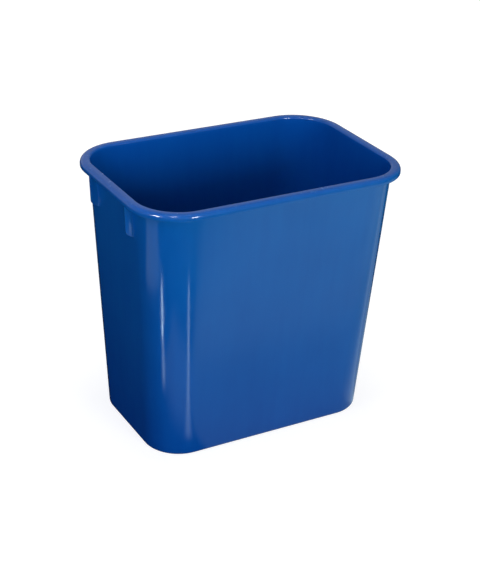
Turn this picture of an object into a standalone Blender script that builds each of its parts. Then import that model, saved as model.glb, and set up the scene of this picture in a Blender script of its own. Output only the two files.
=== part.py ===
"""Rectangular office wastebasket, injection moulded in one piece.

One node, tub: tapered walls, a recessed floor panel inside a foot ring, a rim that turns
outward and down into a short skirt, and four stacking ribs under the skirt at the ends.

Units are metres. +Z is up, +X runs along the long side, and the origin is the middle of
the foot, on the surface that the basket stands on.
"""

import math

import bmesh
import bpy

# Outer sizes over the rim
LENGTH = 0.390
WIDTH = 0.267
HEIGHT = 0.364
RIM_CORNER_R = 0.069

# Outer sizes of the wall at the foot, just above its rounded edge
FOOT_LENGTH = 0.325
FOOT_WIDTH = 0.204
FOOT_CORNER_R = 0.050

# Rim: a flange that turns out and down
RIM_OVERHANG = 0.012
SKIRT_HEIGHT = 0.009
RIM_OUTER_R = 0.0058
RIM_INNER_R = 0.0030
FLANGE_T = 0.0022
FLANGE_FILLET_R = 0.0015

# Walls and floor
WALL_T = 0.0021
FLOOR_T = 0.0024
FOOT_EDGE_R = 0.0042
FLOOR_FILLET_R = 0.0040
FOOT_RING_WIDTH = 0.010
RECESS_DEPTH = 0.0030
RECESS_RAMP = 0.0040
RAMP_SETBACK = 0.0010  # the ramp's upper side starts this much further out

# Gate mark: the low nub where the plastic flowed in, under the middle of the floor
GATE_R = 0.0040
GATE_TOP_R = 0.0028
GATE_HEIGHT = 0.0008
GATE_EDGE = 0.0003

# Stacking ribs, two on each end wall
RIB_PROUD = 0.0100
RIB_T = 0.0037
RIB_OFFSET_Y = 0.0527
RIB_OUTER_DROP = 0.0474
RIB_ROOT_DROP = 0.0538
RIB_NOSE_R = 0.0025
RIB_WELD = 0.0009

# Facets
CORNER_STEPS = 9
ARC_STEPS = 4
SHARP_ANGLE = math.radians(35)

BLUE = (0.012, 0.095, 0.340, 1.0)
WALL_TOP_Z = HEIGHT - SKIRT_HEIGHT


def clear_scene():
    for item in list(bpy.data.objects):
        bpy.data.objects.remove(item, do_unlink=True)


def rounded_rectangle(half_x, half_y, radius, z):
    """Points of one level outline, anticlockwise from above."""
    corners = ((1, 1, 0), (-1, 1, 90), (-1, -1, 180), (1, -1, 270))
    points = []
    for sign_x, sign_y, start in corners:
        centre_x = sign_x * (half_x - radius)
        centre_y = sign_y * (half_y - radius)
        for step in range(CORNER_STEPS + 1):
            angle = math.radians(start + 90.0 * step / CORNER_STEPS)
            x = centre_x + radius * math.cos(angle)
            y = centre_y + radius * math.sin(angle)
            points.append((x, y, z))
    return points


def circle_ring(radius, z):
    """A circle with as many points as an outline has."""
    count = 4 * (CORNER_STEPS + 1)
    turns = [2 * math.pi * (i + 0.5) / count for i in range(count)]
    return [(radius * math.cos(turn), radius * math.sin(turn), z) for turn in turns]


def rim_ring(inset, z):
    """Outline parallel to the rim's outside, inset from it."""
    return rounded_rectangle(LENGTH / 2 - inset, WIDTH / 2 - inset, RIM_CORNER_R - inset, z)


def wall_size(z):
    """Half-length, half-width and corner radius of the wall's outside at height z."""
    rise = (z - FOOT_EDGE_R) / (WALL_TOP_Z - FOOT_EDGE_R)
    half_x = FOOT_LENGTH / 2 + rise * (LENGTH / 2 - RIM_OVERHANG - FOOT_LENGTH / 2)
    half_y = FOOT_WIDTH / 2 + rise * (WIDTH / 2 - RIM_OVERHANG - FOOT_WIDTH / 2)
    radius = FOOT_CORNER_R + rise * (RIM_CORNER_R - RIM_OVERHANG - FOOT_CORNER_R)
    return half_x, half_y, radius


def wall_ring(inset, z, taper_z=None):
    """Outline parallel to the wall's outside at taper_z, inset from it, at height z."""
    half_x, half_y, radius = wall_size(z if taper_z is None else taper_z)
    return rounded_rectangle(half_x - inset, half_y - inset, radius - inset, z)


def arc(radius, start, stop, steps=ARC_STEPS):
    """Offsets (across, up) of an arc from angle start to stop, in degrees."""
    offsets = []
    for step in range(steps + 1):
        angle = math.radians(start + (stop - start) * step / steps)
        offsets.append((radius * math.cos(angle), radius * math.sin(angle)))
    return offsets


def underside_rings():
    """From the gate mark in the middle of the recessed panel out to the foot's rounded edge."""
    gate_top = RECESS_DEPTH - GATE_HEIGHT
    ring_inset = FOOT_EDGE_R + FOOT_RING_WIDTH
    rings = [
        circle_ring(GATE_TOP_R, gate_top),
        circle_ring(GATE_R, gate_top + GATE_EDGE),
        circle_ring(GATE_R, RECESS_DEPTH),
        wall_ring(ring_inset + RECESS_RAMP, RECESS_DEPTH, FOOT_EDGE_R),
        wall_ring(ring_inset, 0.0, FOOT_EDGE_R),
    ]
    for across, up in arc(FOOT_EDGE_R, 270, 360):
        rings.append(wall_ring(FOOT_EDGE_R - across, FOOT_EDGE_R + up, FOOT_EDGE_R))
    return rings


def flange_rings():
    """Up under the flange, along the channel, round the skirt's lip and over the rim."""
    ceiling = HEIGHT - FLANGE_T
    fillet_z = ceiling - FLANGE_FILLET_R
    rings = []
    for across, up in arc(FLANGE_FILLET_R, 180, 90, 2):
        rings.append(wall_ring(-FLANGE_FILLET_R - across, fillet_z + up, fillet_z))
    for across, up in arc(RIM_OUTER_R - FLANGE_T, 90, 0, 3):
        rings.append(rim_ring(RIM_OUTER_R - across, HEIGHT - RIM_OUTER_R + up))
    lip_r = FLANGE_T / 2
    for across, up in arc(lip_r, 180, 360):  # half a turn, round the lip
        rings.append(rim_ring(lip_r - across, WALL_TOP_Z + lip_r + up))
    for across, up in arc(RIM_OUTER_R, 0, 90, 6):
        rings.append(rim_ring(RIM_OUTER_R - across, HEIGHT - RIM_OUTER_R + up))
    return rings


def inside_rings():
    """Over the rim's inner edge, down the inner wall and in across the stepped floor."""
    edge_z = HEIGHT - RIM_INNER_R
    rings = []
    for across, up in arc(RIM_INNER_R, 90, 180):
        rings.append(wall_ring(WALL_T - RIM_INNER_R - across, edge_z + up, edge_z))
    fillet_z = FLOOR_T + FLOOR_FILLET_R
    for across, up in arc(FLOOR_FILLET_R, 360, 270):
        inset = WALL_T + FLOOR_FILLET_R - across
        rings.append(wall_ring(inset, fillet_z + up, fillet_z))
    ramp_start = FOOT_EDGE_R + FOOT_RING_WIDTH - RAMP_SETBACK
    rings.append(wall_ring(ramp_start, FLOOR_T, FOOT_EDGE_R))
    rings.append(wall_ring(ramp_start + RECESS_RAMP, FLOOR_T + RECESS_DEPTH, FOOT_EDGE_R))
    return rings


def shell_mesh(rings):
    """One closed mesh from outlines in order, from the underside round to the floor."""
    mesh = bmesh.new()
    loops = [[mesh.verts.new(point) for point in ring] for ring in rings]
    for lower, upper in zip(loops, loops[1:]):
        for i in range(len(lower)):
            j = (i + 1) % len(lower)
            mesh.faces.new((lower[i], lower[j], upper[j], upper[i]))
    mesh.faces.new(list(reversed(loops[0])))
    mesh.faces.new(loops[-1])
    bmesh.ops.recalc_face_normals(mesh, faces=mesh.faces)
    return mesh


def rib_outline(end):
    """Outline of a rib in the XZ plane at the end wall that faces end * X."""

    def place(proud, z):
        return end * (wall_size(z)[0] + proud), z

    root_z = HEIGHT - RIB_ROOT_DROP
    outer_z = HEIGHT - RIB_OUTER_DROP
    nose = []
    for across, up in arc(RIB_NOSE_R, 300, 360, 3):
        nose.append(place(RIB_PROUD - RIB_NOSE_R + across, outer_z + RIB_NOSE_R + up))
    bend_x = LENGTH / 2 - RIM_OUTER_R
    bend_z = HEIGHT - RIM_OUTER_R
    bend = []
    for across, up in arc(RIM_OUTER_R - FLANGE_T + RIB_WELD, 0, 90, 6):
        bend.append((end * (bend_x + across), bend_z + up))
    return [
        place(-RIB_WELD, root_z),
        place(0.0, root_z),
        *nose,
        place(RIB_PROUD, WALL_TOP_Z + RIB_WELD),
        (bend[0][0], WALL_TOP_Z + FLANGE_T),
        *bend,
        place(-RIB_WELD, bend[-1][1]),
    ]


def rib_blanks():
    """The four ribs as closed blanks that run a little way into the wall, flange and skirt."""
    mesh = bmesh.new()
    for end in (-1, 1):
        for side in (-1, 1):
            y = side * RIB_OFFSET_Y - RIB_T / 2
            corners = [mesh.verts.new((x, y, z)) for x, z in rib_outline(end)]
            face = mesh.faces.new(corners)
            grown = bmesh.ops.extrude_face_region(mesh, geom=[face])
            moved = [item for item in grown["geom"] if isinstance(item, bmesh.types.BMVert)]
            bmesh.ops.translate(mesh, vec=(0.0, RIB_T, 0.0), verts=moved)
    bmesh.ops.recalc_face_normals(mesh, faces=mesh.faces)
    blanks = add_object("rib_blanks", mesh)
    blanks.hide_render = True
    blanks.display_type = "WIRE"
    return blanks


def add_object(name, mesh):
    data = bpy.data.meshes.new(name)
    mesh.to_mesh(data)
    mesh.free()
    item = bpy.data.objects.new(name, data)
    bpy.context.scene.collection.objects.link(item)
    return item


def blue_plastic():
    material = bpy.data.materials.new("blue_plastic")
    material.use_nodes = True
    shader = material.node_tree.nodes["Principled BSDF"]
    shader.inputs["Base Color"].default_value = BLUE
    shader.inputs["Roughness"].default_value = 0.22
    shader.inputs["Metallic"].default_value = 0.0
    return material


def build_tub():
    tub = add_object("tub", shell_mesh(underside_rings() + flange_rings() + inside_rings()))
    tub.data.materials.append(blue_plastic())
    tub.data.shade_smooth()
    tub.data.set_sharp_from_angle(angle=SHARP_ANGLE)
    joined = tub.modifiers.new("ribs", "BOOLEAN")
    joined.operation = "UNION"
    joined.solver = "EXACT"
    joined.object = rib_blanks()
    return tub


clear_scene()
build_tub()
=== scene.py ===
# %% [markdown]
# # A blue office wastebasket
#
# This file is a lesson in small steps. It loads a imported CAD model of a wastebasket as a
# fixed frame, then makes the fine surface, the plastic, the studio and the camera around it.
# Every length is in metres, and the basket's outer size comes from the frame's own box.

# %% Load the frame
import math

import bmesh
import bpy
from mathutils import Matrix, Vector


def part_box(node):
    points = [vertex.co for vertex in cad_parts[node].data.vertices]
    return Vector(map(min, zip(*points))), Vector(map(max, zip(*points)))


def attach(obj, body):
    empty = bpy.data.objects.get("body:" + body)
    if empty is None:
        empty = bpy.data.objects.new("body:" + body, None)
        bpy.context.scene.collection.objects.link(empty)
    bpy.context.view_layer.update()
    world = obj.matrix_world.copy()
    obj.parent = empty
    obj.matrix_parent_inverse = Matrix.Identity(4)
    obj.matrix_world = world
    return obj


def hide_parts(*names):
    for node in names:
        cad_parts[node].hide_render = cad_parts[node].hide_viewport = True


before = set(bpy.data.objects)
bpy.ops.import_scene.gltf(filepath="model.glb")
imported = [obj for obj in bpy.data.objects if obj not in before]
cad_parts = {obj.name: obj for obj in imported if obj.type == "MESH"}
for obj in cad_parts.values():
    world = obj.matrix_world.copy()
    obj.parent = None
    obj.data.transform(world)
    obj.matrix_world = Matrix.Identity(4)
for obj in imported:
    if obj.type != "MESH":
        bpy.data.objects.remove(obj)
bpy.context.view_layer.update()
LOW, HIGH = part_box("tub")
HALF_LENGTH = HIGH.x
HALF_WIDTH = HIGH.y
HEIGHT = HIGH.z
MM_PER_METRE = 1000
print("CAD box, mm:", [round(MM_PER_METRE * side, 1) for side in HIGH - LOW])

# %% [markdown]
# ## Helpers for working as by hand
#
# Blender's operators act on what is selected, so each step first says what that is. These
# helpers deselect everything, name a new primitive, and select faces or edges by where they
# lie. They are the code's stand-in for a click with the mouse.

# %% Select nothing, then one object
def pick(*items):
    """Select these objects only, and make the first one active."""
    if bpy.context.mode != "OBJECT":
        bpy.ops.object.mode_set(mode="OBJECT")
    bpy.ops.object.select_all(action="DESELECT")
    for item in items:
        item.select_set(True)
    bpy.context.view_layer.objects.active = items[0]


def name_new(name):
    """Name the primitive that was just added, and put its place into its mesh."""
    item = bpy.context.object
    item.name = name
    item.data.name = name
    pick(item)
    bpy.ops.object.transform_apply(location=True, rotation=True, scale=True)
    return item


# %% Select vertices, edges or faces by a rule
def select_where(item, kind, rule):
    """In edit mode, select the vertices, edges or faces for which rule(element) is true."""
    pick(item)
    bpy.ops.object.mode_set(mode="EDIT")
    modes = {"verts": "VERT", "edges": "EDGE", "faces": "FACE"}
    bpy.ops.mesh.select_mode(type=modes[kind])
    bpy.ops.mesh.select_all(action="DESELECT")
    mesh = bmesh.from_edit_mesh(item.data)
    chosen = 0
    for element in getattr(mesh, kind):
        if rule(element):
            element.select_set(True)
            chosen += 1
    mesh.select_flush_mode()
    bmesh.update_edit_mesh(item.data)
    return chosen


def apply_all(item):
    """Finish every modifier of an object, in order."""
    pick(item)
    for modifier in list(item.modifiers):
        bpy.ops.object.modifier_apply(modifier=modifier.name)


def count_faces(item):
    return len(item.data.polygons)


# %% [markdown]
# ## The tub's sizes
#
# The real basket is one injection moulding: a thin sheet of plastic that turns up from the
# floor into the walls, out over the rim and down into a short skirt. The mould needs the
# walls to lean out, so the foot is smaller than the mouth. The outer sizes come from the
# frame, and the rest follows from how thick such a sheet is and how far its rim hangs over.

# %% Limits for telling places and directions apart
SAME_PLACE = 0.00001  # nearer than this, two places count as one
FACING = 0.9  # a unit normal with this much of an axis in it faces along that axis
ARC = 0.5  # the profile that makes a bevel a part of a circle

# %% Sizes of the moulding
SHEET = 0.0021
RIM_CORNER = 0.069
OVERHANG = 0.012
SKIRT = 0.009
RIM_OUTER_BEND = 0.0058
RIM_INNER_BEND = 0.0030
FOOT_HALF_LENGTH = 0.1625
FOOT_HALF_WIDTH = 0.102
FOOT_CORNER = 0.050
FOOT_BEND = 0.0042
FOOT_RING = 0.010
PANEL_RISE = 0.0030
PANEL_RAMP = 0.0040
HAIR = 0.00002
PLATE_TOP = SHEET + HAIR  # a hair up, so that rounding never reaches below the floor

MOUTH_HALF_LENGTH = HALF_LENGTH - OVERHANG
MOUTH_HALF_WIDTH = HALF_WIDTH - OVERHANG
MOUTH_CORNER = RIM_CORNER - OVERHANG
SKIRT_END = HEIGHT - SKIRT


def wall_half_length(z):
    """Half the outside length of the leaning wall at height z."""
    rise = (z - FOOT_BEND) / (SKIRT_END - FOOT_BEND)
    return FOOT_HALF_LENGTH + rise * (MOUTH_HALF_LENGTH - FOOT_HALF_LENGTH)


def wall_half_width(z):
    """Half its outside width there."""
    rise = (z - FOOT_BEND) / (SKIRT_END - FOOT_BEND)
    return FOOT_HALF_WIDTH + rise * (MOUTH_HALF_WIDTH - FOOT_HALF_WIDTH)


def wall_corner(z):
    """The radius of its outside corners there."""
    rise = (z - FOOT_BEND) / (SKIRT_END - FOOT_BEND)
    return FOOT_CORNER + rise * (MOUTH_CORNER - FOOT_CORNER)


print("lean of the end walls, degrees:", round(math.degrees(math.atan2(
    MOUTH_HALF_LENGTH - FOOT_HALF_LENGTH, SKIRT_END - FOOT_BEND)), 2))

# %% [markdown]
# ## Outlines
#
# From above, every level of the basket is a rectangle with round corners, and the corners
# grow a little on the way up. Scaling one outline would turn its corners into ellipses, so
# each level that matters gets an outline of its own: a plane whose four vertices are
# bevelled. The straight runs are cut into short pieces, so that the walls get small, even
# faces, which shade smoothly beside the round corners.

# %% One rounded outline, from a plane with bevelled corners
CORNER_PIECES = 18
LONG_CUTS = 23
SHORT_CUTS = 11
STRAIGHT_WITHIN = 0.000001
SHORTEST_RUN = 0.03


def rounded_outline(name, half_x, half_y, corner, z):
    """A closed loop of edges: a rectangle with round corners, at height z."""
    bpy.ops.object.select_all(action="DESELECT")
    bpy.ops.mesh.primitive_plane_add(size=1, location=(0, 0, z))
    bpy.context.object.scale = (2 * half_x, 2 * half_y, 1)
    outline = name_new(name)
    bpy.ops.object.mode_set(mode="EDIT")
    bpy.ops.mesh.select_all(action="SELECT")
    bpy.ops.mesh.bevel(
        offset=corner,
        offset_type="ABSOLUTE",
        segments=CORNER_PIECES,
        profile=ARC,
        affect="VERTICES",
    )
    bpy.ops.mesh.select_all(action="SELECT")
    bpy.ops.mesh.delete(type="ONLY_FACE")
    cut_straight_runs(outline, 0, LONG_CUTS)
    cut_straight_runs(outline, 1, SHORT_CUTS)
    bpy.ops.object.mode_set(mode="OBJECT")
    return outline


def cut_straight_runs(outline, axis, cuts):
    """Cut the two long edges that run along an axis."""

    def is_run(edge):
        run = edge.verts[1].co - edge.verts[0].co
        return abs(run[1 - axis]) < STRAIGHT_WITHIN and abs(run[axis]) > SHORTEST_RUN

    select_where(outline, "edges", is_run)
    bpy.ops.mesh.subdivide(number_cuts=cuts)


# %% [markdown]
# ## The floor
#
# The floor is the start of the sheet. It is modelled on the inside face, because the inside
# is what the mould's core gives its shape, and the thickness is added outwards later. Two
# insets leave a flat foot ring and a ramp, and the panel inside them is lifted, so that the
# basket stands on its ring and not on the middle of its floor.

# %% Floor plate with its raised panel
inner_foot_length = FOOT_HALF_LENGTH - SHEET
inner_foot_width = FOOT_HALF_WIDTH - SHEET
inner_foot_corner = FOOT_CORNER - SHEET
sheet = rounded_outline("tub_sheet", inner_foot_length, inner_foot_width, inner_foot_corner, PLATE_TOP)
select_where(sheet, "edges", lambda edge: True)
bpy.ops.mesh.edge_face_add()
bpy.ops.mesh.inset(thickness=FOOT_BEND + FOOT_RING - SHEET)
bpy.ops.mesh.inset(thickness=PANEL_RAMP)
bpy.ops.transform.translate(value=(0, 0, PANEL_RISE))
bpy.ops.object.mode_set(mode="OBJECT")
print("floor plate faces:", count_faces(sheet))

# %% [markdown]
# ## The walls and the rim
#
# The next outlines are the mouth, the outer edge of the rim and the end of the skirt. Each
# is joined to the one before by a bridge, which draws straight faces between two loops. The
# wall's bridge gets many cuts, so that its faces stay small all the way up.

# %% Add an outline and bridge it to the sheet's open edge
WALL_ROWS = 44


def bridge_to(sheet, half_x, half_y, corner, z, cuts):
    """Join a new outline to the sheet's open edge with straight faces."""
    outline = rounded_outline("outline", half_x, half_y, corner, z)
    pick(sheet, outline)
    bpy.ops.object.join()
    select_where(sheet, "edges", lambda edge: len(edge.link_faces) < 2)
    bpy.ops.mesh.bridge_edge_loops(type="SINGLE", number_cuts=cuts, interpolation="LINEAR")
    bpy.ops.object.mode_set(mode="OBJECT")


bridge_to(sheet, wall_half_length(HEIGHT) - SHEET, wall_half_width(HEIGHT) - SHEET,
          wall_corner(HEIGHT) - SHEET, HEIGHT, WALL_ROWS)
bridge_to(sheet, HALF_LENGTH, HALF_WIDTH, RIM_CORNER, HEIGHT, 0)
bridge_to(sheet, HALF_LENGTH, HALF_WIDTH, RIM_CORNER, SKIRT_END, 0)
print("faces after the rim:", count_faces(sheet))

# %% Round the foot and both bends of the rim
FOOT_PIECES = 4
RIM_INNER_PIECES = 5
RIM_OUTER_PIECES = 9
NEAR_OUTLINE = 0.0005
STEEP = 0.5


def round_loop(item, rule, radius, pieces):
    """Bevel the edges for which rule(edge) is true into an arc, and say how many they are."""
    found = select_where(item, "edges", rule)
    bpy.ops.mesh.bevel(offset=radius, offset_type="OFFSET", segments=pieces, profile=ARC)
    bpy.ops.object.mode_set(mode="OBJECT")
    return found


def at_height(vert, z):
    return abs(vert.co.z - z) <= SAME_PLACE


def level_edge(edge, z, at_rim):
    """Is this edge on the loop at height z, out at the rim or in at the mouth?"""
    return all(at_height(vert, z) and on_rim_outline(vert.co) == at_rim for vert in edge.verts)


def on_rim_outline(point):
    """Is a point on the outer outline of the rim, seen from above?"""
    across = max(abs(point.x) - (HALF_LENGTH - RIM_CORNER), 0)
    along = max(abs(point.y) - (HALF_WIDTH - RIM_CORNER), 0)
    return math.hypot(across, along) > RIM_CORNER - NEAR_OUTLINE


def foot_loop(edge):
    """Is this edge where the floor plate meets the wall?"""
    level = all(at_height(vert, PLATE_TOP) for vert in edge.verts)
    return level and any(abs(face.normal.z) < STEEP for face in edge.link_faces)


def mouth_loop(edge):
    return level_edge(edge, HEIGHT, False)


def rim_loop(edge):
    return level_edge(edge, HEIGHT, True)


print("foot loop:", round_loop(sheet, foot_loop, FOOT_BEND - SHEET, FOOT_PIECES))
print("rim's inner loop:", round_loop(sheet, mouth_loop, RIM_INNER_BEND, RIM_INNER_PIECES))
print("rim's outer loop:", round_loop(sheet, rim_loop, RIM_OUTER_BEND, RIM_OUTER_PIECES))

# %% [markdown]
# ## Thickness
#
# Solidify turns the sheet into a wall of even thickness. The sheet is the side of the plastic
# that is seen from above: the inside of the tub, the top of the rim and the outside of the
# skirt. Its faces are turned to look that way, and the thickness grows behind them, so these
# faces keep their size. Then the skirt's cut end gets a round lip, as a mould leaves it.

# %% Give the sheet its wall
def faces_point_up(item):
    """Do the faces of the lifted floor panel look up into the tub?"""
    largest = max(item.data.polygons, key=lambda face: face.area)
    return largest.normal.z > 0


pick(sheet)
bpy.ops.object.mode_set(mode="EDIT")
bpy.ops.mesh.select_all(action="SELECT")
bpy.ops.mesh.remove_doubles(threshold=SAME_PLACE)
bpy.ops.mesh.normals_make_consistent(inside=False)
bpy.ops.object.mode_set(mode="OBJECT")
if not faces_point_up(sheet):
    bpy.ops.object.mode_set(mode="EDIT")
    bpy.ops.mesh.select_all(action="SELECT")
    bpy.ops.mesh.flip_normals()
    bpy.ops.object.mode_set(mode="OBJECT")
wall = sheet.modifiers.new("wall", "SOLIDIFY")
wall.thickness = SHEET
wall.offset = -1.0
wall.use_even_offset = True
apply_all(sheet)

# %% Round the skirt's lip
LIP_PIECES = 4
LIP_BEND = SHEET / 2.05  # just under half the sheet, so that the two arcs don't quite meet


def lip_edge(edge):
    """Is this edge one of the two along the skirt's cut end?"""
    if not all(at_height(vert, SKIRT_END) for vert in edge.verts):
        return False
    return sorted(abs(face.normal.z) > FACING for face in edge.link_faces) == [False, True]


print("lip edges:", round_loop(sheet, lip_edge, LIP_BEND, LIP_PIECES))

# %% Measure what was made
CUBIC_CM_PER_CUBIC_METRE = 1e6


def volume_and_box(item):
    """The volume in cubic cm, each axis' lowest and highest place in mm, and open edges."""
    mesh = bmesh.new()
    mesh.from_mesh(item.data)
    volume = mesh.calc_volume(signed=True)
    open_edges = sum(1 for edge in mesh.edges if len(edge.link_faces) != 2)
    mesh.free()
    corners = []
    for axis in range(3):
        places = [vert.co[axis] for vert in item.data.vertices]
        corners.append((round(MM_PER_METRE * min(places), 2), round(MM_PER_METRE * max(places), 2)))
    return round(volume * CUBIC_CM_PER_CUBIC_METRE, 1), corners, open_edges


print("wall: cubic cm, box in mm, open edges:", *volume_and_box(sheet))

# %% [markdown]
# ## The stacking ribs
#
# Two upright ribs stand on each end wall, right under the rim. When baskets are stacked they
# rest on the next rim down, and keep the tubs from jamming. One rib is modelled from a cube:
# its root edges flare into the wall, its nose is rounded, and its head fills the channel
# under the rim. Mirror makes the other three.

# %% Sizes of one rib
RIB_PROUD = 0.0100
RIB_THICK = 0.0037
RIB_MIDDLE = 0.0527
RIB_FOOT = HEIGHT - 0.0538
RIB_NOSE = HEIGHT - 0.0474
RIB_NOSE_BEND = 0.0025
RIB_EDGE_BEND = 0.0007
NOSE_PIECES = 4
EDGE_PIECES = 3
HEAD_PIECES = 6
ROOT_FLARE = 0.0009
ROOT_STEPS = 3
INTO_WALL = 0.0009
HEAD_TOP = HEIGHT - SHEET / 2
HEAD_REACH = HALF_LENGTH - SHEET / 2

# %% Model one rib
def rib_from_cube():
    """The rib on the left end wall, at the front, with its root just inside the wall."""
    bpy.ops.object.select_all(action="DESELECT")
    height = SKIRT_END - RIB_FOOT
    middle = (-HALF_LENGTH, -RIB_MIDDLE, RIB_FOOT + height / 2)
    bpy.ops.mesh.primitive_cube_add(size=1, location=middle)
    bpy.context.object.scale = (RIB_PROUD, RIB_THICK, height)
    rib = name_new("stacking_ribs")
    place_rib_corners(rib)
    raise_head(rib)
    round_nose_and_edges(rib)
    flare_root(rib)
    return rib


def move_to(item, kind, rule, shift):
    """Select by a rule and move what is selected."""
    select_where(item, kind, rule)
    bpy.ops.transform.translate(value=shift)
    bpy.ops.object.mode_set(mode="OBJECT")


def place_rib_corners(rib):
    """Lean the block's root and outer edge along the wall."""
    middle = -HALF_LENGTH
    for z, outer_z in ((SKIRT_END, SKIRT_END), (RIB_FOOT, RIB_NOSE)):
        root_x = -wall_half_length(z) - ROOT_FLARE
        outer_x = -wall_half_length(outer_z) - RIB_PROUD
        move_to(rib, "verts", lambda v: at_height(v, z) and v.co.x > middle,
                (root_x - (middle + RIB_PROUD / 2), 0, 0))
        move_to(rib, "verts", lambda v: at_height(v, z) and v.co.x < middle - RIB_PROUD / 3,
                (outer_x - (middle - RIB_PROUD / 2), 0, outer_z - z))


def grow_top(rib, rise):
    """Extrude the rib's top face straight up."""
    select_where(rib, "faces", lambda f: f.normal.z > FACING)
    bpy.ops.mesh.extrude_region_move(TRANSFORM_OT_translate={"value": (0, 0, rise)})
    bpy.ops.object.mode_set(mode="OBJECT")


def raise_head(rib):
    """Extrude the block's top into the channel under the rim, and round its far edge."""
    channel_z = SKIRT_END + SHEET
    grow_top(rib, channel_z - SKIRT_END)
    outer_x = min(vert.co.x for vert in rib.data.vertices if vert.co.z > channel_z - SAME_PLACE)

    def outer_top(vert):
        return vert.co.z > channel_z - SAME_PLACE and vert.co.x < outer_x + SAME_PLACE

    def far_edge(edge):
        return all(v.co.z > HEAD_TOP - SAME_PLACE and v.co.x < -HEAD_REACH + SAME_PLACE
                   for v in edge.verts)

    move_to(rib, "verts", outer_top, (-HEAD_REACH - outer_x, 0, 0))
    grow_top(rib, HEAD_TOP - channel_z)
    round_loop(rib, far_edge, RIM_OUTER_BEND - SHEET / 2, HEAD_PIECES)


def outer_side(point):
    """Is a point of the rib away from the wall, and below the skirt?"""
    return point.z < SKIRT_END + SAME_PLACE and point.x < -wall_half_length(point.z) - RIB_PROUD / 2


def nose_edge(edge):
    return all(outer_side(v.co) and v.co.z < RIB_NOSE + SAME_PLACE for v in edge.verts)


def free_edge(edge):
    """Between one of the rib's flat sides and its outer face, its nose or its underside."""
    sides = sorted(abs(face.normal.y) > FACING for face in edge.link_faces)
    below_skirt = all(v.co.z < SKIRT_END - SAME_PLACE or outer_side(v.co) for v in edge.verts)
    at_root = all(v.co.x > -wall_half_length(v.co.z) - 2 * ROOT_FLARE for v in edge.verts)
    return sides == [False, True] and below_skirt and not at_root


def round_nose_and_edges(rib):
    nose = round_loop(rib, nose_edge, RIB_NOSE_BEND, NOSE_PIECES)
    free = round_loop(rib, free_edge, RIB_EDGE_BEND, EDGE_PIECES)
    print("rib's nose and free edges:", nose, free)


def flare_root(rib):
    """Extrude the root into the wall in small steps, each wider than the last, as a fillet."""
    done = 0.0
    width = RIB_THICK

    def root_face(face):
        return face.normal.x > FACING

    for step in range(1, ROOT_STEPS + 1):
        angle = math.pi / 2 * step / ROOT_STEPS
        depth = ROOT_FLARE * math.sin(angle)
        wide = RIB_THICK + 2 * ROOT_FLARE * (1 - math.cos(angle))
        extrude_root(rib, root_face, depth - done, wide / width)
        done, width = depth, wide
    extrude_root(rib, root_face, INTO_WALL, 1.0)


def extrude_root(rib, rule, depth, widen):
    """Push the root face towards the wall, and widen it about the rib's middle."""
    select_where(rib, "faces", rule)
    bpy.ops.mesh.extrude_region_move(TRANSFORM_OT_translate={"value": (depth, 0, 0)})
    bpy.ops.transform.resize(value=(1, widen, 1), center_override=(0, -RIB_MIDDLE, 0))
    bpy.ops.object.mode_set(mode="OBJECT")


ribs = rib_from_cube()
print("one rib: cubic cm, box in mm, open edges:", *volume_and_box(ribs))

# %% [markdown]
# ## The gate mark
#
# The melt enters the mould under the middle of the floor. Where the hot nozzle was cut off, a
# low round nub stays behind. It is a short cone that starts inside the floor panel.

# %% A short cone under the middle of the floor
GATE_WIDE = 0.0040
GATE_NARROW = 0.0028
GATE_HEIGHT = 0.0008
GATE_EDGE = 0.0002
GATE_SIDES = 40
GATE_EDGE_PIECES = 2
INTO_PANEL = 0.0005


def gate_mark():
    """The nub under the floor panel, with its top inside the panel."""
    panel_under = PLATE_TOP - SHEET + PANEL_RISE
    low = panel_under - GATE_HEIGHT
    middle = panel_under + (INTO_PANEL - GATE_HEIGHT) / 2
    bpy.ops.object.select_all(action="DESELECT")
    bpy.ops.mesh.primitive_cone_add(
        vertices=GATE_SIDES,
        radius1=GATE_NARROW,
        radius2=GATE_WIDE,
        depth=GATE_HEIGHT + INTO_PANEL,
        location=(0, 0, middle),
    )
    nub = name_new("gate_mark")
    round_loop(nub, lambda e: all(at_height(v, low) for v in e.verts), GATE_EDGE, GATE_EDGE_PIECES)
    return nub


nub = gate_mark()
print("gate mark: cubic cm, box in mm, open edges:", *volume_and_box(nub))

# %% [markdown]
# ## One moulding
#
# The ribs and the gate mark are the same shot of plastic as the tub, so the ribs are mirrored
# to all four places and all are united with it. A Boolean union leaves one closed skin, with
# no faces hidden inside.

# %% Mirror the rib, and unite all four and the gate mark with the tub
mirror = ribs.modifiers.new("four_ribs", "MIRROR")
mirror.use_axis = (True, True, False)
mirror.use_mirror_merge = False
apply_all(ribs)
pick(ribs, nub)
bpy.ops.object.join()
bpy.ops.object.mode_set(mode="EDIT")
bpy.ops.mesh.select_all(action="SELECT")
bpy.ops.mesh.normals_make_consistent(inside=False)
bpy.ops.object.mode_set(mode="OBJECT")
union = sheet.modifiers.new("ribs", "BOOLEAN")
union.operation = "UNION"
union.solver = "EXACT"
union.object = ribs
apply_all(sheet)
bpy.data.objects.remove(ribs, do_unlink=True)
tub = sheet
tub.name = "wastebasket_tub"
tub.data.name = "wastebasket_tub"
print("tub: cubic cm, box in mm, open edges:", *volume_and_box(tub))

# %% Shade it smooth, with the flat parts kept flat
SMOOTH_UNDER = math.radians(32)
pick(tub)
bpy.ops.object.shade_smooth_by_angle(angle=SMOOTH_UNDER)
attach(tub, "root")
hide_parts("tub")

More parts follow.
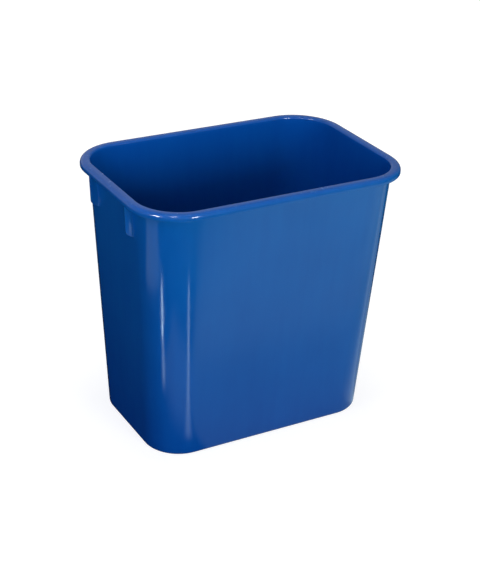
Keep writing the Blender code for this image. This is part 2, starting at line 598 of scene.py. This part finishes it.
# %% [markdown]
# ## The plastic
#
# The basket is dyed right through, so its colour barely changes: a little cloudiness where
# the dye mixed unevenly, and faint streaks along the way the melt ran, up from the gate in
# the floor. Light scuffs whiten the rim and the foot, where hands and floors touch it. The
# surface is glossy but not optically flat: moulded walls have a long, low waviness and a
# fine orange peel, and both show in their reflections. All patterns read Object coordinates,
# so they stay on the plastic from every side.

# %% Small helpers for shader nodes
def add_node(nodes, kind, settings=None, inputs=None):
    """Add a node, with its settings and the constants on its input sockets."""
    node = nodes.new(kind)
    for name, value in (settings or {}).items():
        setattr(node, name, value)
    for name, value in (inputs or {}).items():
        node.inputs[name].default_value = value
    return node


def noise_value(tree, source, scale, detail, roughness=0.5):
    """Noise between 0 and 1. The scale is how many of its waves fit in a metre."""
    noise = add_node(tree.nodes, "ShaderNodeTexNoise", inputs={
        "Scale": scale, "Detail": detail, "Roughness": roughness})
    tree.links.new(source, noise.inputs["Vector"])
    return noise.outputs["Fac"]


def map_range(tree, value, from_low, from_high, to_low, to_high, smooth=False):
    """Stretch or turn one span of values into another."""
    node = add_node(tree.nodes, "ShaderNodeMapRange", inputs={
        "From Min": from_low, "From Max": from_high, "To Min": to_low, "To Max": to_high})
    if smooth:
        node.interpolation_type = "SMOOTHSTEP"
    tree.links.new(value, node.inputs["Value"])
    return node.outputs["Result"]


def combine(tree, operation, first, second):
    """One step of arithmetic on two sockets or numbers."""
    node = add_node(tree.nodes, "ShaderNodeMath", {"operation": operation})
    for slot, value in zip(node.inputs, (first, second)):
        if isinstance(value, (int, float)):
            slot.default_value = value
        else:
            tree.links.new(value, slot)
    return node.outputs[0]


COLOUR_A, COLOUR_B, COLOUR_OUT = 6, 7, 2  # the Mix node's sockets when it mixes colours


def mix_colour(tree, share, first, second):
    """The first colour where the share is 0, and the second where it is 1."""
    node = add_node(tree.nodes, "ShaderNodeMix", {"data_type": "RGBA"})
    tree.links.new(share, node.inputs["Factor"])
    for slot, value in ((node.inputs[COLOUR_A], first), (node.inputs[COLOUR_B], second)):
        if isinstance(value, tuple):
            slot.default_value = value
        else:
            tree.links.new(value, slot)
    return node.outputs[COLOUR_OUT]


def part_of(tree, source, axis):
    """One of the three numbers that a place or a colour holds."""
    split = tree.nodes.new("ShaderNodeSeparateXYZ")
    tree.links.new(source, split.inputs["Vector"])
    return split.outputs[axis]


# %% The colour of the plastic, with its cloudiness and flow streaks
DEEP_BLUE = (0.0008, 0.060, 0.300, 1)
PALE_BLUE = (0.0016, 0.073, 0.340, 1)
CLOUD_SCALE = 7
STREAK_SCALE = 70
FLECK_SCALE = 900
STREAK_SQUEEZE = (1, 1, 0.12)  # few waves upwards, so each streak is long and upright
CLOUD_SHARE = 0.55
STREAK_SHARE = 0.30
FLECK_SHARE = 0.15
ALL_DEEP = 0.35
ALL_PALE = 0.65


def plastic_colour(tree, place):
    """Deep and pale blue, mixed by clouds, upright streaks and fine flecks."""
    clouds = noise_value(tree, place, CLOUD_SCALE, detail=3)
    stretch = add_node(tree.nodes, "ShaderNodeMapping", inputs={"Scale": STREAK_SQUEEZE})
    tree.links.new(place, stretch.inputs["Vector"])
    streaks = noise_value(tree, stretch.outputs["Vector"], STREAK_SCALE, detail=4, roughness=0.6)
    flecks = noise_value(tree, place, FLECK_SCALE, detail=2)
    mixture = combine(tree, "MULTIPLY", clouds, CLOUD_SHARE)
    for pattern, part in ((streaks, STREAK_SHARE), (flecks, FLECK_SHARE)):
        mixture = combine(tree, "ADD", mixture, combine(tree, "MULTIPLY", pattern, part))
    share = map_range(tree, mixture, ALL_DEEP, ALL_PALE, 0.0, 1.0)
    return mix_colour(tree, share, DEEP_BLUE, PALE_BLUE)


# %% Scuffs on the rim and the foot
SCUFFED_BLUE = (0.040, 0.150, 0.430, 1)
RIM_SCUFFS_FROM = HEIGHT - 0.0030
RIM_SCUFFS_FULL = HEIGHT - 0.0002
FOOT_SCUFFS_FULL = 0.0002
FOOT_SCUFFS_TO = 0.0050
MARK_SCALE = 160
NO_MARK = 0.55
FULL_MARK = 0.72


def scuff_share(tree, place):
    """How scuffed each point is: fine marks on the top of the rim and round the foot."""
    height = part_of(tree, place, "Z")
    at_rim = map_range(tree, height, RIM_SCUFFS_FROM, RIM_SCUFFS_FULL, 0, 1, smooth=True)
    at_foot = map_range(tree, height, FOOT_SCUFFS_FULL, FOOT_SCUFFS_TO, 1, 0, smooth=True)
    touched = combine(tree, "MAXIMUM", at_rim, at_foot)
    noise = noise_value(tree, place, MARK_SCALE, detail=6, roughness=0.7)
    marks = map_range(tree, noise, NO_MARK, FULL_MARK, 0, 1, smooth=True)
    return combine(tree, "MULTIPLY", touched, marks)


# %% Waviness and orange peel
WAVE_SCALE = 11
WAVE_HEIGHT = 0.00035
PEEL_SCALE = 620
PEEL_HEIGHT = 0.000012
PEEL_STRENGTH = 0.5


def surface_bump(tree, place):
    """Long, low waves in the walls, with a fine orange peel on top of them."""
    waves = add_node(tree.nodes, "ShaderNodeBump", inputs={"Strength": 1.0, "Distance": WAVE_HEIGHT})
    tree.links.new(noise_value(tree, place, WAVE_SCALE, detail=1), waves.inputs["Height"])
    peel = add_node(tree.nodes, "ShaderNodeBump", inputs={
        "Strength": PEEL_STRENGTH, "Distance": PEEL_HEIGHT})
    tree.links.new(noise_value(tree, place, PEEL_SCALE, detail=2), peel.inputs["Height"])
    tree.links.new(waves.outputs["Normal"], peel.inputs["Normal"])
    return peel.outputs["Normal"]


# %% How glossy it is
GLOSS = 0.14
GLOSS_SWING = 0.03
HAZE_SCALE = 24
CLEAREST = 0.3
HAZIEST = 0.7
SCUFF_ROUGHNESS = 0.18


def plastic_roughness(tree, place, scuffs):
    """A little hazier in some places than in others, and rougher where it is scuffed."""
    noise = noise_value(tree, place, HAZE_SCALE, detail=4)
    haze = map_range(tree, noise, CLEAREST, HAZIEST, GLOSS - GLOSS_SWING, GLOSS + GLOSS_SWING)
    return combine(tree, "ADD", haze, combine(tree, "MULTIPLY", scuffs, SCUFF_ROUGHNESS))


# %% The finished plastic
PLASTIC_IOR = 1.45
SCUFF_PALENESS = 0.6


def moulded_plastic(name):
    """Blue gloss plastic, from the patterns above."""
    plastic = bpy.data.materials.new(name)
    plastic.use_nodes = True
    tree = plastic.node_tree
    shader = tree.nodes["Principled BSDF"]
    shader.inputs["IOR"].default_value = PLASTIC_IOR
    place = tree.nodes.new("ShaderNodeTexCoord").outputs["Object"]
    scuffs = scuff_share(tree, place)
    paleness = combine(tree, "MULTIPLY", scuffs, SCUFF_PALENESS)
    colour = mix_colour(tree, paleness, plastic_colour(tree, place), SCUFFED_BLUE)
    tree.links.new(colour, shader.inputs["Base Color"])
    tree.links.new(plastic_roughness(tree, place, scuffs), shader.inputs["Roughness"])
    tree.links.new(surface_bump(tree, place), shader.inputs["Normal"])
    return plastic


tub.data.materials.clear()
tub.data.materials.append(moulded_plastic("blue_plastic_finish"))
print("plastic nodes:", len(tub.data.materials[0].node_tree.nodes))

# %% [markdown]
# ## The studio
#
# The basket stands on pale paper. Soft boxes in front and on its left light its outside, low
# boxes behind and on its right keep those walls from going black, and one overhead lights
# the rim and the mouth. The left end stays in soft shade, away from the paper's bright part.
# Glossy plastic shows what is around it, so what it reflects is set apart from what lights
# it: three lamps make the glints on the rim's corner, and soft-edged cards just under the
# floor make the long pale shapes in the walls. Only reflections see these.

# %% The paper's glow: plain white to the camera, and painted bounce light with a painted shade for the basket
WHITE = (1.0, 1.0, 1.0, 1)
NEAR_SET = 0.5
FAR_FROM_SET = 1.5
GLOW_NEAR_SET = 0.84
GLOW_FAR_OFF = 1.0
SHADE_MIDDLE = (-0.50, 0.12, 0.0)
SHADE_INNER = 0.60
SHADE_OUTER = 1.45
FLOOR_BOUNCE = 1.95
WARM_BOUNCE = (1.0, 1.0, 0.28, 1)


def distance_from(tree, place):
    """How far each point of the floor is from a place on it."""
    measure = add_node(tree.nodes, "ShaderNodeVectorMath", {"operation": "DISTANCE"})
    tree.links.new(tree.nodes.new("ShaderNodeTexCoord").outputs["Object"], measure.inputs[0])
    measure.inputs[1].default_value = place
    return measure.outputs["Value"]


def paper_glow(tree, shader):
    """White to the camera. To the basket it glows with warm, painted bounce light, apart from a part
    with painted shade.
    """
    rays = tree.nodes.new("ShaderNodeLightPath")
    level = map_range(tree, distance_from(tree, (0.0, 0.0, 0.0)), NEAR_SET, FAR_FROM_SET,
                      GLOW_NEAR_SET, GLOW_FAR_OFF, smooth=True)
    seen = combine(tree, "MULTIPLY", level, rays.outputs["Is Camera Ray"])
    # Painted shade: around SHADE_MIDDLE the paper's glow gives the basket no bounce light, standing in
    # for shaded floor beside its left end.
    bounce = map_range(tree, distance_from(tree, SHADE_MIDDLE), SHADE_INNER, SHADE_OUTER,
                       0.0, FLOOR_BOUNCE, smooth=True)
    lit = combine(tree, "MULTIPLY", bounce, rays.outputs["Is Diffuse Ray"])
    tint = mix_colour(tree, rays.outputs["Is Diffuse Ray"], WHITE, WARM_BOUNCE)
    tree.links.new(tint, shader.inputs["Emission Color"])
    tree.links.new(combine(tree, "ADD", seen, lit), shader.inputs["Emission Strength"])


# %% The floor
FLOOR_HALF = 12.0
PAPER_GREY = (0.30, 0.30, 0.30, 1)
PAPER_ROUGHNESS = 0.9


def pale_floor():
    """A wide sheet of pale paper, which glossy surfaces don't show."""
    bpy.ops.object.select_all(action="DESELECT")
    bpy.ops.mesh.primitive_plane_add(size=2 * FLOOR_HALF, location=(0, 0, 0))
    floor = name_new("floor")
    paper = bpy.data.materials.new("pale_floor_paper")
    paper.use_nodes = True
    paper.cycles.emission_sampling = "NONE"
    tree = paper.node_tree
    shader = tree.nodes["Principled BSDF"]
    shader.inputs["Base Color"].default_value = PAPER_GREY
    shader.inputs["Roughness"].default_value = PAPER_ROUGHNESS
    shader.inputs["Specular IOR Level"].default_value = 0.0
    paper_glow(tree, shader)
    floor.data.materials.append(paper)
    floor.visible_glossy = False
    return floor


print("floor's nodes:", len(pale_floor().data.materials[0].node_tree.nodes))

# %% Light boxes and lamps
SET_MIDDLE = (0.0, 0.0, 0.20)
NO_TINT = (1, 1, 1)
WARM = (1.0, 1.0, 0.78)
BLUISH = (0.60, 0.68, 1.0)


def from_middle(azimuth, elevation, distance):
    """A place round the basket. Azimuth 0 is in front of it, and 90 off its right end."""
    turn, climb = math.radians(azimuth), math.radians(elevation)
    level = Vector((math.sin(turn), -math.cos(turn), 0)) * math.cos(climb)
    return Vector(SET_MIDDLE) + (level + Vector((0, 0, math.sin(climb)))) * distance


def light_box(name, place, size, power, tint=NO_TINT):
    """A flat lamp that faces the basket, and that reflections don't show. Power is in watts."""
    bpy.ops.object.light_add(type="AREA", location=place)
    box = bpy.context.object
    box.name = name
    box.data.shape = "RECTANGLE"
    box.data.size = size[0]
    box.data.size_y = size[1]
    box.data.energy = power
    box.data.color = tint
    box.rotation_euler = (place - Vector(SET_MIDDLE)).to_track_quat("Z", "Y").to_euler()
    box.visible_glossy = False
    return box


def glint(name, place, size, power):
    """A lamp that only reflections see."""
    lamp = light_box(name, place, size, power)
    lamp.visible_glossy = True
    lamp.visible_diffuse = False
    return lamp


# %% Each lamp's place as azimuth, elevation and distance, then its size and its power
light_box("front_box", from_middle(10, 13, 2.2), (0.7, 0.7), 21.5)
light_box("front_left_box", from_middle(-27, 15, 2.2), (0.8, 0.7), 13.5)
light_box("left_box", from_middle(-78, 21, 2.2), (0.8, 0.6), 5, BLUISH)
light_box("near_left_lamp", from_middle(-75, 39, 1.0), (0.3, 0.3), 1.7, BLUISH)
light_box("low_back_box", from_middle(165, -3, 2.2), (1.0, 0.15), 20)
light_box("low_right_box", from_middle(92, -3, 2.2), (0.8, 0.15), 11)
light_box("overhead", from_middle(0, 90, 2.0), (0.8, 0.8), 26, WARM)
glint("front_glint", from_middle(7, 27, 2.2), (0.50, 0.35), 30)
glint("left_glint", from_middle(-71, 33, 2.2), (0.50, 0.30), 26)
glint("high_left_glint", from_middle(-38, 54, 2.2), (0.25, 0.25), 11)

# %% What a card gives off
COOL_WHITE = (1.0, 1.34, 1.50, 1)
CARD_CENTRE = 0.5


def card_glow(name, glow, softness, cut):
    """A light-giving material that fades towards the card's edges, and past a cut line."""
    paint = bpy.data.materials.new(name)
    paint.use_nodes = True
    paint.cycles.emission_sampling = "NONE"
    tree = paint.node_tree
    tree.nodes.clear()
    place = tree.nodes.new("ShaderNodeUVMap").outputs["UV"]
    strength = glow
    for axis, soft in zip("XY", softness):
        off_centre = combine(tree, "SUBTRACT", part_of(tree, place, axis), CARD_CENTRE)
        distance = combine(tree, "ABSOLUTE", off_centre, 0.0)
        fade = map_range(tree, distance, CARD_CENTRE - soft, CARD_CENTRE, 1.0, 0.0, smooth=True)
        strength = combine(tree, "MULTIPLY", fade, strength)
    if cut:
        strength = combine(tree, "MULTIPLY", beside_line(tree, *cut), strength)
    light = add_node(tree.nodes, "ShaderNodeEmission", inputs={"Color": COOL_WHITE})
    tree.links.new(strength, light.inputs["Strength"])
    both = tree.nodes.new("ShaderNodeAddShader")
    tree.links.new(light.outputs[0], both.inputs[0])
    tree.links.new(tree.nodes.new("ShaderNodeBsdfTransparent").outputs[0], both.inputs[1])
    out = tree.nodes.new("ShaderNodeOutputMaterial")
    tree.links.new(both.outputs[0], out.inputs["Surface"])
    return paint


def beside_line(tree, start, end, soft):
    """One on the left of a line from start to end on the floor, and zero on its right."""
    run = (Vector(end) - Vector(start)).normalized()
    left = (-run.y, run.x, 0)
    measure = add_node(tree.nodes, "ShaderNodeVectorMath", {"operation": "DOT_PRODUCT"})
    tree.links.new(tree.nodes.new("ShaderNodeTexCoord").outputs["Object"], measure.inputs[0])
    measure.inputs[1].default_value = left
    at_line = left[0] * start[0] + left[1] * start[1]
    return map_range(tree, measure.outputs["Value"], at_line - soft, at_line + soft, 0.0, 1.0,
                     smooth=True)


# %% One soft card that only reflections see
CARD_DROP = 0.002
CARD_STEP = 0.0005
cards = []


def card(name, start, end, width, glow, softness, cut=None):
    """A card on the line from start to end, places on the floor. Each lies under the last."""
    run = Vector(end) - Vector(start)
    middle = (Vector(start) + Vector(end)) / 2
    drop = CARD_DROP + CARD_STEP * len(cards)
    bpy.ops.object.select_all(action="DESELECT")
    bpy.ops.mesh.primitive_plane_add(size=1, location=(middle.x, middle.y, -drop))
    item = bpy.context.object
    item.name = name
    item.scale = (run.length, width, 1)
    item.rotation_euler = (0, 0, math.atan2(run.y, run.x))
    bpy.ops.object.transform_apply(location=True, rotation=True, scale=True)
    item.data.materials.append(card_glow(name, glow, softness, cut))
    item.visible_camera = False
    item.visible_diffuse = False
    item.visible_shadow = False
    item.visible_transmission = False
    item.visible_volume_scatter = False
    cards.append(item)


# %% The wide cards in front and on the left
# Each card has its start, its end, its width, its glow and how much of its length and width
# fades, counted from its edges. Some fade past a line too: its start, its end and half the fade.
SLANTED_CUT = ((-0.05, -0.33), (0.20, -0.64), 0.05)
card("front_card", (-0.10, -0.84), (1.50, -0.84), 1.54, 0.31, (0.01, 0.01), SLANTED_CUT)
card("front_card_far", (-0.10, -0.91), (1.50, -0.91), 1.36, 0.20, (0.01, 0.10), SLANTED_CUT)
card("front_left_card", (-0.36, -0.26), (-0.10, -0.26), 0.28, 0.36, (0.15, 0.3))
card("left_far_card", (-0.655, -0.225), (-0.655, 0.15), 0.23, 0.55, (0.08, 0.10))

# %% The narrow cards that draw upright lines in the front left corner
FADE_TO_BASKET = ((0.0, -0.27), (-1.0, -0.27), 0.30)
card("left_line", (-0.540, -0.236), (-0.390, -0.181), 0.026, 22.0, (0.15, 0.5))
card("left_line_tail", (-0.430, -0.195), (-0.27, -0.139), 0.052, 2.5, (0.30, 0.5))
card("front_line", (-0.094, -0.53), (-0.118, -0.13), 0.046, 5.0, (0.06, 0.5), FADE_TO_BASKET)

# %% The wide cards on the right and at the back
card("right_card", (0.15, -0.03), (1.00, -0.03), 0.30, 0.30, (0.02, 0.3))
card("back_card", (-0.10, 0.70), (0.90, 0.70), 0.80, 0.40, (0.2, 0.2))
print("cards:", len(cards))

# %% The room around the set
ROOM_LIGHT = 0.13
ROOM_TINT = (0.35, 0.45, 1.0, 1)
WALLS_IN_REFLECTIONS = 0.42
BRIGHTER_BEHIND = 0.25
DIMMER_ON_RIGHT = -0.38
CEILING_IN_REFLECTIONS = 0.42
BELOW_FLOOR = 0.004
CEILING_FROM = 0.3
CEILING_FULL = 0.9
HORIZON_FROM = -0.04
HORIZON_FULL = 0.02


def weigh(tree, *pairs):
    """The sum of every socket times its weight, which may be a socket too."""
    total = 0.0
    for socket, weight in pairs:
        total = combine(tree, "ADD", combine(tree, "MULTIPLY", socket, weight), total)
    return total


def mirrored_room(tree):
    """How bright the room is in reflections, by the direction that a reflection looks in."""
    looks = tree.nodes.new("ShaderNodeTexCoord").outputs["Generated"]
    height = part_of(tree, looks, "Z")
    behind = combine(tree, "MAXIMUM", part_of(tree, looks, "Y"), 0.0)
    on_right = combine(tree, "MAXIMUM", part_of(tree, looks, "X"), 0.0)
    around = weigh(tree, (behind, BRIGHTER_BEHIND), (on_right, DIMMER_ON_RIGHT))
    walls = combine(tree, "ADD", around, WALLS_IN_REFLECTIONS)
    up = map_range(tree, height, CEILING_FROM, CEILING_FULL, 0.0, 1.0)
    not_up = combine(tree, "SUBTRACT", 1.0, up)
    upper = weigh(tree, (walls, not_up), (up, CEILING_IN_REFLECTIONS))
    above_floor = map_range(tree, height, HORIZON_FROM, HORIZON_FULL, 0.0, 1.0, smooth=True)
    return combine(tree, "MAXIMUM", combine(tree, "MULTIPLY", upper, above_floor), BELOW_FLOOR)


def room():
    """A white room. As a light it is dim and bluish; to the camera it is plain white."""
    world = bpy.data.worlds.new("white_room")
    bpy.context.scene.world = world
    world.use_nodes = True
    world.cycles.sampling_method = "NONE"
    tree = world.node_tree
    back = tree.nodes["Background"]
    rays = tree.nodes.new("ShaderNodeLightPath")
    diffuse = rays.outputs["Is Diffuse Ray"]
    not_diffuse = combine(tree, "SUBTRACT", 1.0, diffuse)
    level = weigh(tree, (mirrored_room(tree), not_diffuse), (diffuse, ROOM_LIGHT))
    seen = combine(tree, "MAXIMUM", level, rays.outputs["Is Camera Ray"])
    tree.links.new(seen, back.inputs["Strength"])
    tree.links.new(mix_colour(tree, diffuse, WHITE, ROOM_TINT), back.inputs["Color"])
    return world


print("room's nodes:", len(room().node_tree.nodes))
bpy.context.scene.view_settings.view_transform = "Standard"
bpy.context.scene.view_settings.look = "None"

# %% [markdown]
# ## The camera
#
# The camera looks down on the front left corner from about two metres away. A long lens from
# there keeps the uprights nearly parallel. It is rolled a little, as a camera on a tripod
# often is, and a small offset sets the basket in the middle of its view.

# %% Place the camera
CAMERA_AZIMUTH = math.radians(29.98)
CAMERA_ELEVATION = math.radians(26.72)
CAMERA_DISTANCE = 1.9197
CAMERA_ROLL = math.radians(2.23)
CAMERA_LENS = 88.60  # in mm, as the sensor's width is
SENSOR_WIDTH = 36.0
SIDE_OFFSET = 0.0050
RISE_OFFSET = -0.0012


def place_camera():
    """Look at the basket's middle from its front left, then slide sideways and roll."""
    towards = Vector((
        -math.sin(CAMERA_AZIMUTH) * math.cos(CAMERA_ELEVATION),
        -math.cos(CAMERA_AZIMUTH) * math.cos(CAMERA_ELEVATION),
        math.sin(CAMERA_ELEVATION),
    ))
    turn = towards.to_track_quat("Z", "Y").to_matrix() @ Matrix.Rotation(CAMERA_ROLL, 3, "Z")
    aim = Vector((0, 0, HEIGHT / 2)) + turn @ Vector((SIDE_OFFSET, RISE_OFFSET, 0))
    bpy.ops.object.camera_add(location=aim + towards * CAMERA_DISTANCE)
    camera = bpy.context.object
    camera.rotation_euler = turn.to_euler()
    camera.data.lens = CAMERA_LENS
    camera.data.sensor_width = SENSOR_WIDTH
    bpy.context.scene.camera = camera
    return camera


camera = place_camera()
print("camera at, m:", [round(v, 3) for v in camera.location])
